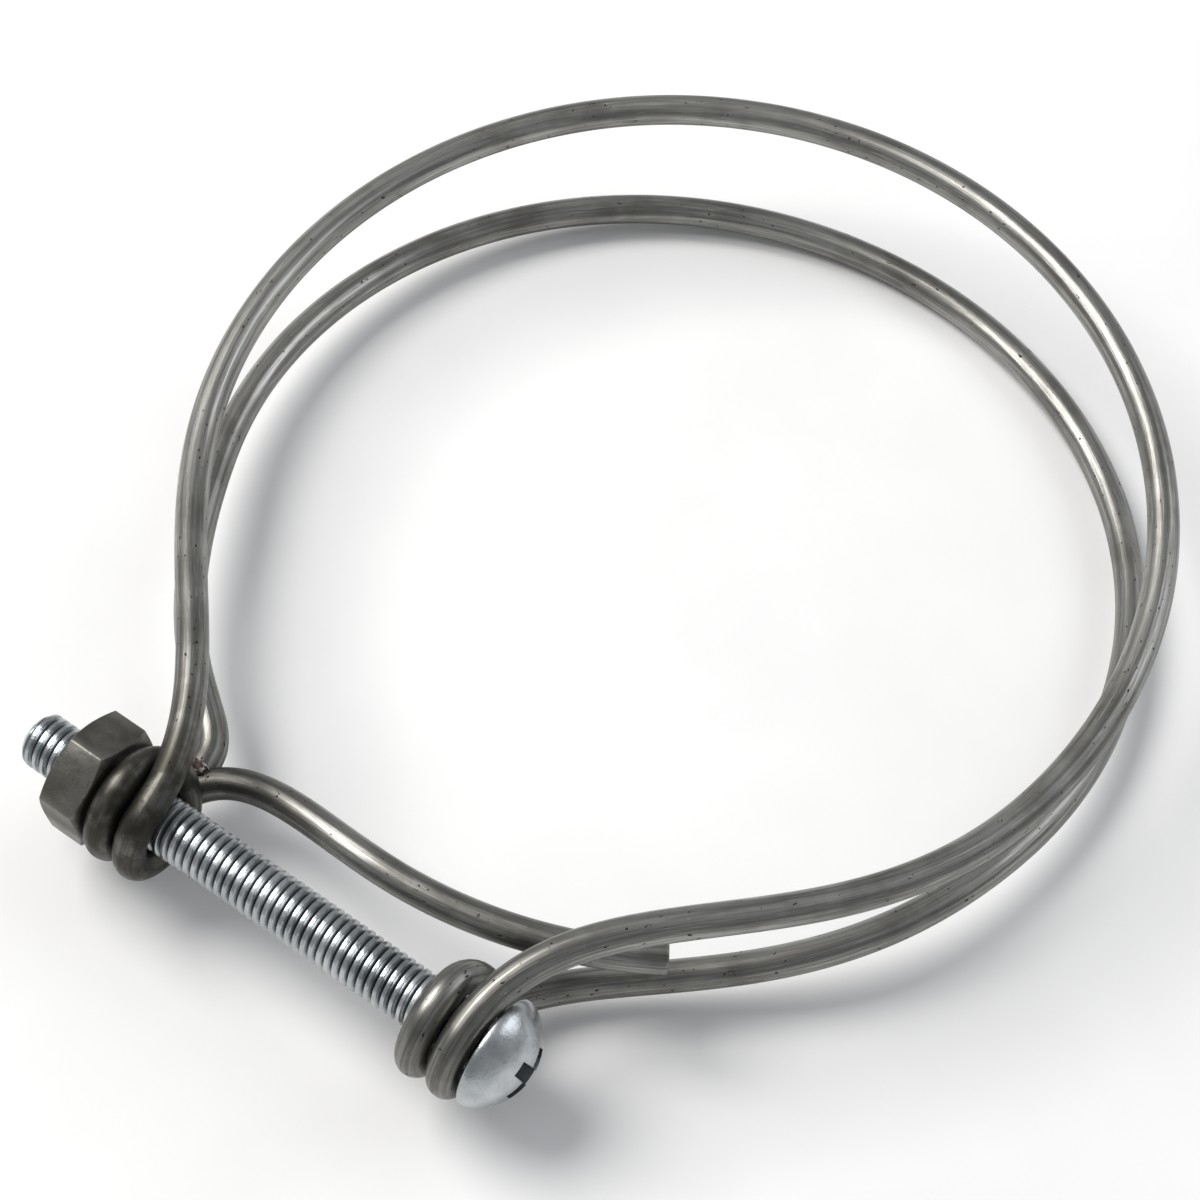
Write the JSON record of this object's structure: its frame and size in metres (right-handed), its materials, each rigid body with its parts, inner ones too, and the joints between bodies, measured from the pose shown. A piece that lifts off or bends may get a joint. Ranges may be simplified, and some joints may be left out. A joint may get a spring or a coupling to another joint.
{
  "type": "double wire hose clamp",
  "caption": "Double-wire screw hose clamp: spring wire hoops with coiled ends drawn together by a cross-recess screw and a hex nut.",
  "frame": {"origin": "middle of the part's box, on the surface it lies on", "axes": "+X along the screw towards its head, +Z along the hose's axis, the screw on the -Y side"},
  "size_m": [0.0852, 0.0974, 0.0172],
  "materials": {
    "wire": "drawn spring steel wire, dull grey with a warm cast, fine lengthwise drawing lines, small dark pits",
    "zinc_screw": "bright bluish zinc plate",
    "nut": "dull brownish grey plate",
    "weld": "dark weld metal with a rust tint"
  },
  "bodies": {
    "head_side_wire": {"wire_head_coil_and_legs": "wire"},
    "hoops_head_side": {"upper_hoop_head_side": "wire", "lower_hoop_head_side": "wire"},
    "hoops_nut_side": {"upper_hoop_nut_side": "wire", "lower_hoop_nut_side": "wire"},
    "nut_side_wire": {"wire_nut_coil_and_tongue": "wire", "lower_hoop_welded_end": "wire", "weld_fillet": "weld"},
    "screw": {"machine_screw": "zinc_screw"},
    "nut": {"hex_nut": "nut"}
  },
  "joints": [
    {"name": "screw_turn", "type": "hinge", "parent": "head_side_wire", "child": "screw", "pos_m": [0.0176, -0.04337, 0.0086], "axis": [-1, 0, 0], "range_deg": [-1500, 9075]},
    {"name": "flex_head_side", "type": "hinge", "parent": "head_side_wire", "child": "hoops_head_side", "pos_m": [0.0409, 0.00327, 0.0086], "axis": [0, 0, 1], "range_deg": [-12.1, 2.1]},
    {"name": "flex_back", "type": "hinge", "parent": "hoops_head_side", "child": "hoops_nut_side", "pos_m": [0, 0.04713, 0.0086], "axis": [0, 0, 1], "range_deg": [-3.95, 23.97]},
    {"name": "flex_nut_side", "type": "hinge", "parent": "hoops_nut_side", "child": "nut_side_wire", "pos_m": [-0.0409, 0.00327, 0.0086], "axis": [0, 0, 1], "range_deg": [-12.1, 2.1]},
    {"name": "nut_turn", "type": "hinge", "parent": "nut_side_wire", "child": "nut", "pos_m": [-0.0224, -0.04337, 0.0086], "axis": [-1, 0, 0], "continuous": true}
  ],
  "couplings": [
    {"joint": "flex_head_side", "follows": "flex_back", "ratio": -0.5},
    {"joint": "flex_nut_side", "follows": "flex_back", "ratio": -0.5},
    {"joint": "screw_turn", "follows": "flex_back", "ratio": 378.28}
  ]
}
